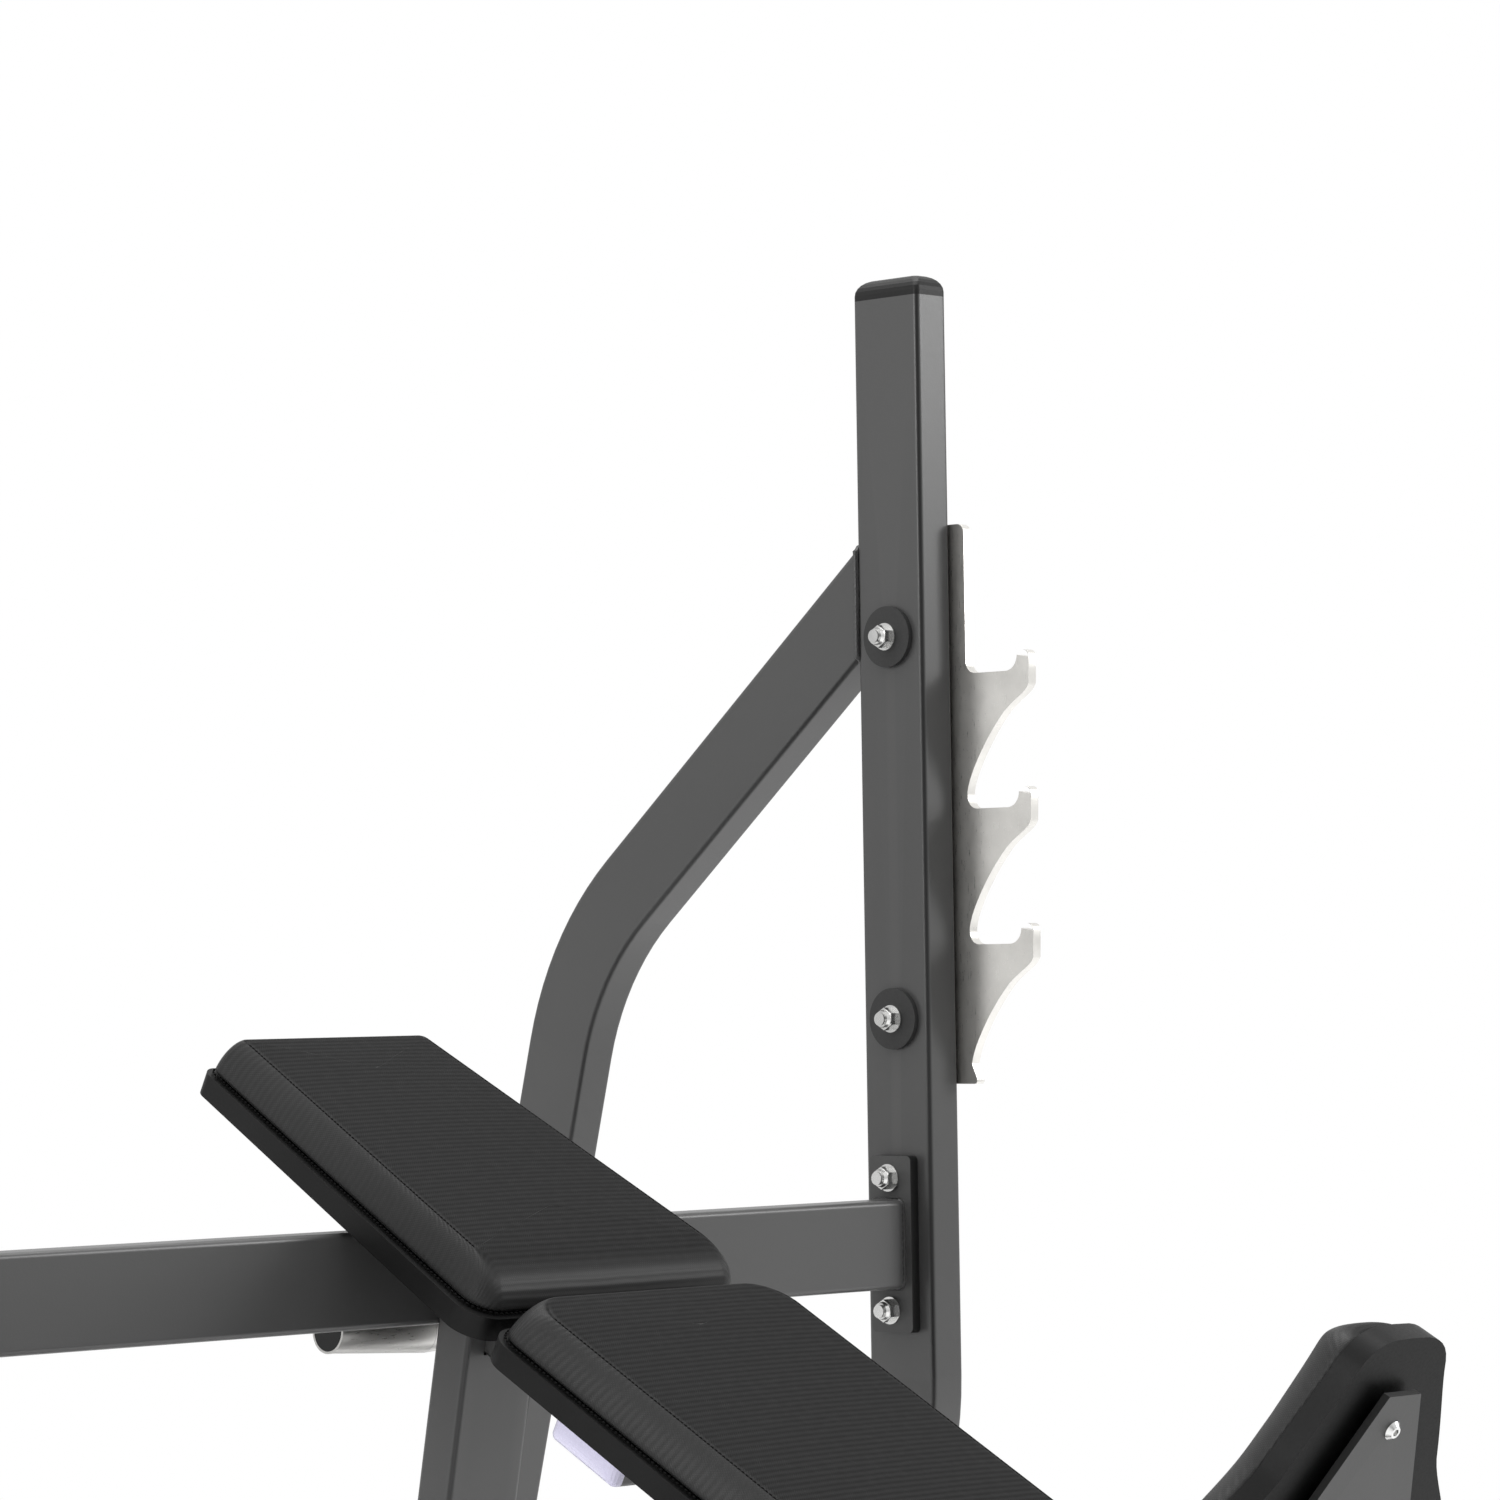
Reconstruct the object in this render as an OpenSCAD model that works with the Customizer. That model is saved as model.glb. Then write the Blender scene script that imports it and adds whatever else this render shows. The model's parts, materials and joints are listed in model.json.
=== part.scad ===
// Olympic incline bench: two racked uprights, a fixed padded bench and a sliding saddle seat.
// Millimetres. X is across the bench and is the mirror direction, Y runs from the seat end
// (-Y) to the rack end (+Y), and Z is up. The floor is Z = 0.

/* [Rack] */
// Half the distance between the centre planes of the two uprights
upright_half = 565; // [500:5:620]
// Height of the top of the upright tubes above the floor
upright_top = 1563; // [1400:1:1700]
// Depth of the upright and brace tubes, in the direction that the bench runs
tube_w = 80; // [60:5:100]
// Thickness of the upright and brace tubes, across the bench
tube_t = 40; // [30:5:60]
// Wall of every frame tube
tube_wall = 3; // [2:0.5:5]
// Outer corner radius of every frame tube
tube_r = 5; // [3:0.5:8]
// Height above the floor at which the uprights start to bend back
upright_bend_z = 580; // [450:5:640]
// Centre radius of the bend in the uprights
upright_bend_r = 250; // [150:10:400]
// Lean of the lower uprights and of the centre leg, from the vertical
leg_lean = 11.1; // [5:0.1:20]
// Lean of the upper part of the rear braces, from the vertical
brace_upper = 50.5; // [40:0.5:60]
// Lean of the lower part of the rear braces, from the vertical
brace_lower = 14.7; // [5:0.1:25]
// Centre radius of the bend in the rear braces
brace_bend_r = 290; // [200:10:400]

/* [Bar hooks] */
// Thickness of the hook plates
hook_t = 10; // [6:1:14]
// Height of the lowest point of a hook plate above the floor
hook_bottom = 844; // [800:1:900]
// Height of the top of a hook plate above the floor
hook_top = 1354; // [1300:1:1400]
// Height of the top bar seat above the floor
seat_top_z = 1217; // [1150:1:1260]
// Spacing between one bar seat and the next
hook_pitch = 123.3; // [100:0.1:150]
// Number of bar seats on each plate
hook_count = 3; // [2:1:4]

/* [Crossbar and collar pins] */
// Height of the crossbar's centre above the floor
crossbar_z = 700; // [650:5:750]
// Outside diameter of a collar storage pin
pin_d = 38; // [30:1:50]
// Distance from the centre plane to a collar pin's free end
pin_reach = 104; // [80:1:160]
// Upward tilt of the collar pins
pin_tilt = 2.84; // [0:0.1:8]

/* [Pads] */
// Slope of the back and head pads, from the horizontal
slope = 28; // [20:1:40]
// Height of the pads' top plane above the crossbar's centre, over the uprights' centre plane
pad_rise = 118; // [90:1:150]
// Thickness of a cushion above its board
cushion_t = 36; // [25:1:60]
// Thickness of a pad board
board_t = 20; // [12:1:25]
// Half the width of the back pad's board
back_half = 158; // [130:1:180]
// Length of the back pad's board
back_len = 540; // [450:5:700]
// Length of the head pad's board
head_len = 422; // [350:1:500]
// How far a board stands out past the top edge of its cushion
board_lip = 22; // [10:1:30]

/* [Seat] */
// Distance along the slope from the uprights' centre plane to the seat's cushion face, at rest
seat_at = 888; // [820:1:920]
// Travel of the seat each way from rest
seat_travel = 80; // [40:40:120]
// Spacing of the locking holes in the rail
hole_pitch = 40; // [25:1:50]
// Height of the seat's nose above the pads' top plane
nose_h = 348; // [300:1:380]

/* [Base] */
// Height of the rubber feet
foot_h = 10; // [6:1:20]
// Height of the base tubes
base_h = 40; // [30:5:60]
// Width of the base tubes
base_w = 80; // [60:5:100]
// Rear end of the side bases, behind the uprights' centre plane
base_rear = 760; // [650:5:850]
// Front end of the front foot, ahead of the uprights' centre plane
base_front = 1000; // [900:5:1100]
// Half the length of the front foot
front_foot_half = 300; // [200:10:400]

/* [Output] */

/* [Hidden] */
$fn = 48;
e = 0.01;
big = 3000;
// origin: the middle of the footprint, on the floor
oy = (base_front - base_rear) / 2;
oz = crossbar_z;
base_top = foot_h + base_h;          // above the floor
leg_tan = tan(leg_lean);
xi = upright_half - tube_t / 2;      // inner face of an upright
xo = upright_half + tube_t / 2;      // outer face
bar_y = 4.8;                         // crossbar centre behind the uprights' centre plane
bar_d = 40;
bar_h = 80;
flange_t = 10;
flange_h = 160;
flange_w = 50;
flange_y = 1;                        // flange centre behind the uprights' centre plane
leg_d = 40;
leg_w = 80;
leg_y0 = -36;                        // leg centre line at 51 below the crossbar's centre
rail_w = 40;
rail_h = 80;
rail_top = -(cushion_t + board_t);   // height above the pads' plane
rail_end = -1150;
arm_h = 40;
arm_w = 80;
arm_at = [-358, -700];
arm_tip = 125;
cap_len = 13.4;
head_rear = 186;                     // rear edge of the head pad's board, along the slope
arm_bolt = (rail_w / 2 + arm_tip - cap_len) / 2 + 20;
strap_bolts = [60, 120];
hole_d = 10.6;
seat_board = -(seat_at + cushion_t + board_t);   // underside of the seat board, along the slope
plate_t = 6;
spacer_t = 5.5;
plate_face = seat_board - spacer_t - plate_t;
sleeve_len = 120;
liner_gap = 0.3;
liner_t = 3.7;
sleeve_wall = 4;
sleeve_x = rail_w / 2 + liner_gap + liner_t + sleeve_wall;
pop_z = rail_top - rail_h / 2;
pop_d = 10;
foot_xy = [[-565, 30], [565, 30], [-565, 700], [565, 700], [-255, -960], [255, -960]];
steel = [0.39, 0.39, 0.385];
plated = [0.83, 0.81, 0.77];
zinc = [0.80, 0.80, 0.79];
black = [0.07, 0.07, 0.07];
vinyl = [0.035, 0.035, 0.04];
board_c = [0.09, 0.09, 0.09];
lilac = [0.84, 0.83, 0.90];

// ---- frames ----

// the crossbar's frame: Y = 0 is the uprights' centre plane, Z = 0 the crossbar's centre
module at_bar() { translate([0, oy, oz]) children(); }

// the slope's frame: Y runs up the slope, Z is the pads' normal, Z = 0 their top plane
module at_slope() { at_bar() translate([0, 0, pad_rise]) rotate([slope, 0, 0]) children(); }

// both sides of the bench
module both() { for (m = [0, 1]) mirror([m, 0, 0]) children(); }

// ---- shapes ----

module rr(w, h, r) {
    square([w - 2 * r, h], center = true);
    square([w, h - 2 * r], center = true);
    for (x = [-1, 1], y = [-1, 1]) translate([x * (w / 2 - r), y * (h / 2 - r)]) circle(r);
}

module ring(w, h, r = tube_r, t = tube_wall) {
    difference() {
        rr(w, h, r);
        rr(w - 2 * t, h - 2 * t, max(r - t, 1));
    }
}

// a shape drawn in X (to Y) and Y (to Z), pushed out along X and centred
module along_x(l) { rotate([90, 0, 90]) linear_extrude(l, center = true) children(); }

// a shape drawn in X and Y (to Z), pushed out along Y from y0 to y1
module along_y(y0, y1) { translate([0, y1, 0]) rotate([90, 0, 0]) linear_extrude(y1 - y0) children(); }

// a tube heading down that turns towards +Y, with centre radius r
module turn(r, a) {
    translate([0, r, 0]) rotate([-90, 0, -90]) rotate_extrude(angle = a) translate([r, 0]) children();
}

module below(z) { translate([-big / 2, -big / 2, z - big]) cube(big); }

module x_hole(d, y, z) { translate([0, y, z]) rotate([0, 90, 0]) cylinder(d = d, h = big, center = true); }

module hex(af, h) { cylinder(d = af / cos(30), h = h, $fn = 6); }

// a domed plug for a tube end: the shoulder is at Z = 0 and the plug goes down
module dome_cap(w, h, dome, plug = 18) {
    hull() {
        for (i = [0:6]) {
            a = i * 15;
            inset = (1 - cos(a)) * min(h, w) * 0.36;
            translate([0, 0, dome * (0.25 + 0.75 * sin(a)) - 0.5])
                linear_extrude(0.5) rr(w - 2 * inset, h - 2 * inset, tube_r);
        }
        linear_extrude(0.5) rr(w, h, tube_r);
    }
    translate([0, 0, -plug])
        linear_extrude(plug + e) ring(w - 2 * tube_wall - 0.4, h - 2 * tube_wall - 0.4, 2, 2.5);
}

// ---- rack ----

bend_dy = upright_bend_r * (1 - cos(leg_lean));
bend_dz = upright_bend_r * sin(leg_lean);

module upright_tube() {
    zb = upright_bend_z - crossbar_z;
    difference() {
        translate([upright_half, 0, 0]) {
            translate([0, 0, zb])
                linear_extrude(upright_top - crossbar_z - zb) ring(tube_t, tube_w);
            translate([0, 0, zb]) {
                turn(upright_bend_r, leg_lean) ring(tube_w, tube_t);
                translate([0, bend_dy, -bend_dz]) rotate([leg_lean, 0, 0])
                    translate([0, 0, -620]) linear_extrude(620) ring(tube_t, tube_w);
            }
        }
        below(base_top - crossbar_z);
        for (z = hook_bolt_z) x_hole(12.6, 0, z);
        for (z = [-60, 60]) x_hole(12.6, 2, z);
    }
}

hook_bolt_z = [552, 204];

module upright_left() { color(steel) at_bar() mirror([1, 0, 0]) upright_tube(); }
module upright_right() { color(steel) at_bar() upright_tube(); }

module upright_cap() {
    translate([upright_half, 0, upright_top - crossbar_z]) dome_cap(tube_t, tube_w, 19, 24);
}
module upright_cap_left() { color(black) at_bar() mirror([1, 0, 0]) upright_cap(); }
module upright_cap_right() { color(black) at_bar() upright_cap(); }

// the bend of a brace starts here, on its centre line
brace_p = [352.5, 327.1];
brace_a = brace_upper - brace_lower;

module brace_tube() {
    difference() {
        translate([upright_half, brace_p[0], brace_p[1]]) rotate([brace_upper, 0, 0]) {
            linear_extrude(520) ring(tube_t, tube_w);
            mirror([0, 1, 0]) turn(brace_bend_r, brace_a) ring(tube_w, tube_t);
            translate([0, -brace_bend_r * (1 - cos(brace_a)), -brace_bend_r * sin(brace_a)])
                rotate([-brace_a, 0, 0])
                translate([0, 0, -930]) linear_extrude(930) ring(tube_t, tube_w);
        }
        below(base_top - crossbar_z);
        translate([0, tube_w / 2 - big / 2, 0]) cube(big, center = true);
    }
}
module rear_brace_left() { color(steel) at_bar() mirror([1, 0, 0]) brace_tube(); }
module rear_brace_right() { color(steel) at_bar() brace_tube(); }

module crossbar() {
    color(steel) at_bar() translate([0, bar_y, 0])
        along_x(2 * (xi - flange_t)) ring(bar_d, bar_h);
}

module flange() {
    translate([xi - flange_t / 2, flange_y, 0]) difference() {
        along_x(flange_t) rr(flange_w, flange_h, 5);
        for (z = [-60, 60]) x_hole(12.6, 2 - flange_y, z);
    }
}
module crossbar_flange_left() { color(steel) at_bar() mirror([1, 0, 0]) flange(); }
module crossbar_flange_right() { color(steel) at_bar() flange(); }

// ---- bench frame ----

module centre_leg() {
    color(steel) at_bar() difference() {
        translate([0, leg_y0, -51]) rotate([leg_lean, 0, 0])
            translate([0, 0, -700]) linear_extrude(774) ring(leg_w, leg_d);
        below(base_top - crossbar_z);
        // the rail passes through the top of the leg
        translate([0, 0, pad_rise]) rotate([slope, 0, 0]) {
            translate([-rail_w / 2 - 0.2, -400, rail_top - rail_h - 0.2])
                cube([rail_w + 0.4, 800, rail_h + 100]);
            translate([-200, -400, rail_top - 4]) cube([400, 800, 200]);
        }
    }
}

module main_rail() {
    color(steel) difference() {
        at_slope() difference() {
            translate([0, 0, rail_top - rail_h / 2])
                along_y(rail_end, 60) ring(rail_w, rail_h);
            for (i = [-2:2])
                translate([-rail_w, plate_face + i * hole_pitch, pop_z])
                rotate([0, 90, 0]) cylinder(d = hole_d, h = rail_w);
        }
        // it stops on the crossbar's front face
        at_bar() translate([-100, bar_y - bar_d / 2, -300]) cube([200, 300, 600]);
    }
}

module rail_end_cap() {
    color(black) at_slope() translate([0, rail_end, rail_top - rail_h / 2]) {
        translate([0, -4, 0]) along_y(0, 4) rr(rail_w, rail_h, tube_r);
        along_y(0, 16) ring(rail_w - 2 * tube_wall - 0.4, rail_h - 2 * tube_wall - 0.4, 2, 2.5);
    }
}

module front_post() {
    color(steel) at_bar() difference() {
        translate([0, -930, base_top - crossbar_z]) linear_extrude(300) ring(80, 40);
        translate([0, 0, pad_rise]) rotate([slope, 0, 0])
            translate([-200, -1400, rail_top - rail_h]) cube([400, 800, 400]);
    }
}

module base_tube_y(y0, y1) {
    translate([0, 0, foot_h + base_h / 2 - crossbar_z]) along_y(y0, y1) ring(base_w, base_h);
}
module base_tube_x(l, y) {
    translate([0, y, foot_h + base_h / 2 - crossbar_z]) along_x(l) ring(base_w, base_h);
}
module side_base() { translate([upright_half, 0, 0]) base_tube_y(-16, base_rear - 4); }
module side_base_left() { color(steel) at_bar() mirror([1, 0, 0]) side_base(); }
module side_base_right() { color(steel) at_bar() side_base(); }
module floor_crossbar() { color(steel) at_bar() base_tube_x(2 * upright_half - base_w, 100); }
module base_spine() { color(steel) at_bar() base_tube_y(-base_front + base_w, 60); }
module front_foot() {
    color(steel) at_bar() base_tube_x(2 * front_foot_half - 8, -base_front + base_w / 2);
}

// a flat end cap for a base tube, facing -Y, with its shoulder on Y = 0
module flat_cap() {
    translate([0, -4, 0]) along_y(0, 4) rr(base_w, base_h, tube_r);
    along_y(0, 16) ring(base_w - 2 * tube_wall - 0.4, base_h - 2 * tube_wall - 0.4, 2, 2.5);
}
module base_end_caps() {
    color(black) at_bar() translate([0, 0, foot_h + base_h / 2 - crossbar_z]) both() {
        translate([upright_half, -16, 0]) flat_cap();
        translate([upright_half, base_rear - 4, 0]) mirror([0, 1, 0]) flat_cap();
        translate([front_foot_half - 4, -base_front + base_w / 2, 0]) rotate([0, 0, 90]) flat_cap();
    }
}

module rubber_feet() {
    color(black) at_bar() for (p = foot_xy) translate([p[0], p[1], -crossbar_z]) {
        cylinder(d1 = 58, d2 = 66, h = foot_h);
    }
}

// ---- pad supports ----

module head_pad_bracket() {
    color(steel) difference() {
        at_slope() {
            // the strap under the board
            translate([-45, -44, rail_top - 6]) cube([90, 194, 6]);
            // two webs down onto the crossbar
            for (x = [-34, 28]) translate([x, 0, 0]) rotate([90, 0, 90]) linear_extrude(6)
                polygon([[-44, rail_top - 6], [125, rail_top - 6], [125, rail_top - 12], [-29, rail_top - 51],
                    [-44, rail_top - 51]]);
        }
        at_bar() translate([-100, bar_y - bar_d / 2 - 100, -300])
            cube([200, 100 + bar_d, 300 + bar_h / 2]);
        at_bar() translate([-100, -100, -300]) cube([200, 400, 285]);
        at_slope() for (s = strap_bolts) translate([0, s, rail_top - 20]) cylinder(d = 9, h = 30);
    }
}

module pad_arms() {
    color(steel) at_slope() both() for (s = arm_at)
        translate([(rail_w / 2 + arm_tip - cap_len) / 2, s, rail_top - arm_h / 2])
        difference() {
            along_x(arm_tip - cap_len - rail_w / 2) ring(arm_w, arm_h);
            translate([20, 0, -50]) cylinder(d = 9, h = 100);
        }
}

module pad_arm_caps() {
    color(lilac) at_slope() both() for (s = arm_at)
        translate([arm_tip - cap_len, s, rail_top - arm_h / 2])
        rotate([90, 0, 90]) dome_cap(arm_w, arm_h, cap_len, 16);
}

// pad bolts go up through the arms and the strap into the boards
module pad_bolts() {
    color(zinc) at_slope() {
        both() for (s = arm_at)
            translate([arm_bolt, s, rail_top - arm_h]) {
                translate([0, 0, -5.5]) hex(13, 5.5);
                cylinder(d = 8, h = arm_h + 14);
            }
        for (s = strap_bolts) translate([0, s, rail_top - 6]) {
            translate([0, 0, -5.5]) hex(13, 5.5);
            cylinder(d = 8, h = 6 + 14);
        }
    }
}

// ---- collar pins ----

module pin_frame() {
    translate([pin_reach, 45, -43.5]) rotate([0, -pin_tilt, 0]) rotate([0, -90, 0]) children();
}
module collar_pin() {
    difference() {
        pin_frame() difference() {
            cylinder(d = pin_d, h = pin_reach + 10);
            translate([0, 0, -1]) cylinder(d = pin_d - 4, h = pin_reach + 20);
        }
        translate([-100, -100, -200]) cube([100.2, 300, 400]);
    }
}
module collar_pin_left() { color(zinc) at_bar() mirror([1, 0, 0]) collar_pin(); }
module collar_pin_right() { color(zinc) at_bar() collar_pin(); }
module collar_pin_caps() {
    color(black) at_bar() both() pin_frame() difference() {
        cylinder(d = pin_d - 4, h = 18);
        translate([0, 0, 3]) cylinder(d = pin_d - 10, h = 20);
    }
}
module pin_bracket() {
    color(steel) at_bar() difference() {
        translate([-45, bar_y + bar_d / 2, -31]) cube([90, 45, 12]);
        both() pin_frame() cylinder(d = pin_d, h = pin_reach + 10);
    }
}

// ---- hook plates ----

function arc(cx, cy, r, a0, a1, n) =
    [for (i = [0:n]) let(a = a0 + (a1 - a0) * i / n) [cx + r * cos(a), cy + r * sin(a)]];

// a cubic curve from p0 to p3
function curve(p0, p1, p2, p3, n) = [for (i = [1:n]) let(t = i / n, u = 1 - t)
    u * u * u * p0 + 3 * u * u * t * p1 + 3 * u * t * t * p2 + t * t * t * p3];

spine = -56.5;   // front edge of the plate's spine
// one hook, from the spine's edge above the bar seat down to the spine below it
function hook(z) = concat(
    arc(spine - 11.5, z + 11.5, 11.5, 0, -90, 8),
    arc(spine - 48, z + 14, 14, -90, -180, 9),
    arc(-125.5, z + 11.3, 7, 180, 90, 5),
    arc(-127, z + 12.3, 6, 90, 180, 5),
    curve([-133, z - 8], [-133, z - 20], [-119, z - 22], [-103, z - 36], 8),
    curve([-103, z - 36], [-84, z - 54], [-59, z - 90], [spine, z - 108], 12));

function hooks(z, n) = n == 0 ? [] : concat(hook(z), hooks(z - hook_pitch, n - 1));

module hook_plate() {
    z0 = hook_bottom - crossbar_z;
    z1 = hook_top - crossbar_z;
    back = 32;
    translate([xo + hook_t / 2, 0, 0]) difference() {
        along_x(hook_t) polygon(concat(
            arc(back - 8, z1 - 8, 8, 0, 90, 5),
            arc(spine + 8, z1 - 8, 8, 90, 180, 5),
            hooks(seat_top_z - crossbar_z, hook_count),
            curve([spine, z0 + 22], [spine, z0 + 12], [spine - 6, z0 + 8], [spine - 6, z0 + 3], 5),
            arc(spine - 3, z0 + 3, 3, 180, 270, 3),
            arc(back - 8, z0 + 8, 8, 270, 360, 5)));
        for (z = hook_bolt_z) x_hole(12.6, 0, z);
    }
}
module hook_plate_left() { color(plated) at_bar() mirror([1, 0, 0]) hook_plate(); }
module hook_plate_right() { color(plated) at_bar() hook_plate(); }

// ---- rack fasteners ----

// places its children on the bolt's axis, with +Z pointing out from the centre plane
module on_bolt(x, y, z) { both() translate([x, y, z]) rotate([0, 90, 0]) children(); }

module spacer_discs() {
    color(black) at_bar() for (z = hook_bolt_z) on_bolt(xi - 5, 0, z) difference() {
        cylinder(d = 56, h = 5);
        translate([0, 0, -1]) cylinder(d = 12.6, h = 7);
    }
}
module washer_12() { difference() { cylinder(d = 25, h = 2.5); translate([0, 0, -1]) cylinder(d = 13, h = 5); } }
module bolt_12(l) {
    cylinder(d = 12, h = l);
    translate([0, 0, l]) hex(18, 7.5);
}
// a lock nut whose collar faces the centre plane; it ends at Z = 0
module nut_12() {
    difference() {
        union() {
            translate([0, 0, -8.5]) hex(18, 8.5);
            translate([0, 0, -12]) cylinder(d1 = 14.5, d2 = 17, h = 3.5);
        }
        translate([0, 0, -13]) cylinder(d = 12, h = 14);
    }
}
module hook_washers() {
    color(zinc) at_bar() for (z = hook_bolt_z) {
        on_bolt(xi - 7.5, 0, z) washer_12();
        on_bolt(xo + hook_t, 0, z) washer_12();
    }
}
module hook_nuts() { color(zinc) at_bar() for (z = hook_bolt_z) on_bolt(xi - 7.5, 0, z) nut_12(); }
module hook_bolts() {
    color(zinc) at_bar() for (z = hook_bolt_z)
        on_bolt(xi - 7.5 - 15, 0, z) bolt_12(tube_t + hook_t + 10 + 15);
}
module crossbar_washers() {
    color(zinc) at_bar() for (z = [-60, 60]) {
        on_bolt(xi - flange_t - 2.5, 2, z) washer_12();
        on_bolt(xo, 2, z) washer_12();
    }
}
module crossbar_nuts() {
    color(zinc) at_bar() for (z = [-60, 60]) on_bolt(xi - flange_t - 2.5, 2, z) nut_12();
}
module crossbar_bolts() {
    color(zinc) at_bar() for (z = [-60, 60])
        on_bolt(xi - flange_t - 17.5, 2, z) bolt_12(tube_t + flange_t + 5 + 15);
}

// ---- pads ----

function head_half(s) = 115.4 - 0.0735 * s;
head_front = head_rear - head_len;

// the plan of the head pad, g outside its top edge, from s0 to s1 along the slope
module head_plan(g, s0, s1, r, r_rear) {
    hull() for (m = [-1, 1]) {
        translate([m * (head_half(s1) + g - r_rear), s1 - r_rear]) circle(r_rear);
        translate([m * (head_half(s0) + g - r), s0 + r]) circle(r);
    }
}
module head_pad_board() {
    color(board_c) at_slope() difference() {
        translate([0, 0, rail_top])
            linear_extrude(board_t) head_plan(board_lip, head_front, head_rear, 28, 14);
        for (s = strap_bolts) translate([0, s, rail_top - 1]) cylinder(d = 8.2, h = 15.5);
    }
}
module head_pad_cushion() {
    color(vinyl) at_slope() hull() {
        translate([0, 0, rail_top + board_t])
            linear_extrude(8) head_plan(board_lip - 5, head_front + 5, head_rear - 5, 26, 12);
        translate([0, 0, -10])
            linear_extrude(2) head_plan(board_lip - 12, head_front + 16, head_rear - 8, 30, 10);
        translate([0, 0, -1]) linear_extrude(1) head_plan(0, head_front + 47, head_rear - 14, 30, 8);
    }
}
module back_plan(g, r) {
    translate([0, -250 - back_len / 2]) rr(2 * (back_half - g), back_len - 2 * g, r);
}
module back_pad_board() {
    color(board_c) at_slope() difference() {
        translate([0, 0, rail_top]) linear_extrude(board_t) back_plan(0, 28);
        both() for (s = arm_at) translate([arm_bolt, s, rail_top - 1]) cylinder(d = 8.2, h = 15.5);
    }
}
module back_pad_cushion() {
    color(vinyl) at_slope() hull() {
        translate([0, 0, rail_top + board_t]) linear_extrude(8) back_plan(5, 26);
        translate([0, 0, -10]) linear_extrude(2) back_plan(11, 30);
        translate([0, 0, -1]) linear_extrude(1) back_plan(20, 30);
    }
}

// ---- seat ----

// the seat's outline on one side: half width against height above the pads' plane
seat_wide = 163;
function seat_side() = concat(
    [[0, nose_h], [18, nose_h - 0.5]],
    curve([18, nose_h - 0.5], [32, nose_h - 2], [44, nose_h - 8], [50, nose_h - 22], 6),
    curve([50, nose_h - 22], [58, nose_h - 44], [72, nose_h - 66], [89, nose_h - 106], 8),
    curve([89, nose_h - 106], [103, nose_h - 134], [150, nose_h - 170], [seat_wide, nose_h - 232], 12),
    curve([seat_wide, nose_h - 232], [169, nose_h - 262], [168, nose_h - 292], [158, nose_h - 314], 8),
    arc(122, 45, 33, -10, -90, 8),
    [[0, 12]]);

// the outline, drawn a little smaller by g
module seat_plan(g = 0) {
    k = (165 - g) / 165;
    side = seat_side();
    n = len(side);
    translate([0, 180 * (1 - k)]) scale([k, k])
        polygon(concat(side, [for (i = [1:n - 2]) [-side[n - 1 - i][0], side[n - 1 - i][1]]]));
}

// in the seat's own frame, Z runs down the slope from the pads' side
module at_seat(s) {
    at_slope() translate([0, s, 0]) rotate([90, 0, 0]) children();
}
screws = [[0, 280], [-62, 160], [62, 160], [-62, 60], [62, 60]];

module seat_board_panel() {
    color(board_c) at_seat(seat_board + board_t) difference() {
        linear_extrude(board_t) seat_plan();
        for (p = screws) translate([p[0], p[1], board_t - 14]) cylinder(d = 8.2, h = 15);
    }
}
module seat_cushion() {
    color(vinyl) at_seat(-seat_at) hull() {
        translate([0, 0, cushion_t - 8]) linear_extrude(8) seat_plan(4);
        translate([0, 0, 9]) linear_extrude(2) seat_plan(14);
        linear_extrude(1) seat_plan(27);
    }
}
module seat_spacers() {
    color(black) at_seat(seat_board) for (p = screws) translate([p[0], p[1], 0]) difference() {
        cylinder(d = 24, h = spacer_t);
        translate([0, 0, -1]) cylinder(d = 8.4, h = spacer_t + 2);
    }
}
plate_low = rail_top + liner_gap + liner_t + sleeve_wall;
module seat_plate() {
    color(steel) at_seat(plate_face + plate_t) difference() {
        linear_extrude(plate_t) polygon([
            [-18, 308], [18, 308], [90, 148], [90, 30], [40, plate_low], [-40, plate_low],
            [-90, 30], [-90, 148]]);
        for (p = screws) translate([p[0], p[1], -1]) cylinder(d = 8.4, h = plate_t + 2);
    }
}
module seat_screws() {
    color(zinc) at_seat(plate_face) for (p = screws) translate([p[0], p[1], 0]) difference() {
        union() {
            translate([0, 0, -plate_t - spacer_t - 12]) cylinder(d = 8, h = plate_t + spacer_t + 12);
            cylinder(d = 15, h = 1.2);
            translate([0, 0, 1.2]) cylinder(d1 = 15, d2 = 9, h = 3.2);
        }
        translate([0, 0, 1.4]) cylinder(d = 5.8, h = 4, $fn = 6);
    }
}

// the sleeve that rides on the rail, with two webs up the back of the seat plate
module seat_carriage() {
    color(steel) difference() {
        union() {
            at_slope() translate([0, plate_face, pop_z])
                along_y(-sleeve_len / 2, sleeve_len / 2)
                ring(2 * sleeve_x, rail_h + 2 * (sleeve_x - rail_w / 2), 7, sleeve_wall);
            for (x = [-24, 18]) at_slope() translate([x, plate_face, 0]) rotate([90, 0, 90])
                linear_extrude(6) polygon([[0, 150], [0, plate_low], [-58, plate_low], [-58, plate_low + 12]]);
        }
        at_slope() translate([0, plate_face, pop_z]) rotate([0, -90, 0]) cylinder(d = 16, h = 60);
    }
}
module carriage_liners() {
    w = 2 * (rail_w / 2 + liner_gap + liner_t);
    h = rail_h + 2 * (liner_gap + liner_t);
    color(black) difference() {
        at_slope() translate([0, plate_face, pop_z]) for (s = [-sleeve_len / 2, sleeve_len / 2 - 40])
            along_y(s, s + 40) difference() {
                rr(w, h, 3);
                rr(rail_w + 2 * liner_gap, rail_h + 2 * liner_gap, 5);
            }
        at_slope() translate([0, plate_face, pop_z]) rotate([0, -90, 0]) cylinder(d = 16, h = 60);
    }
}

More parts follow.
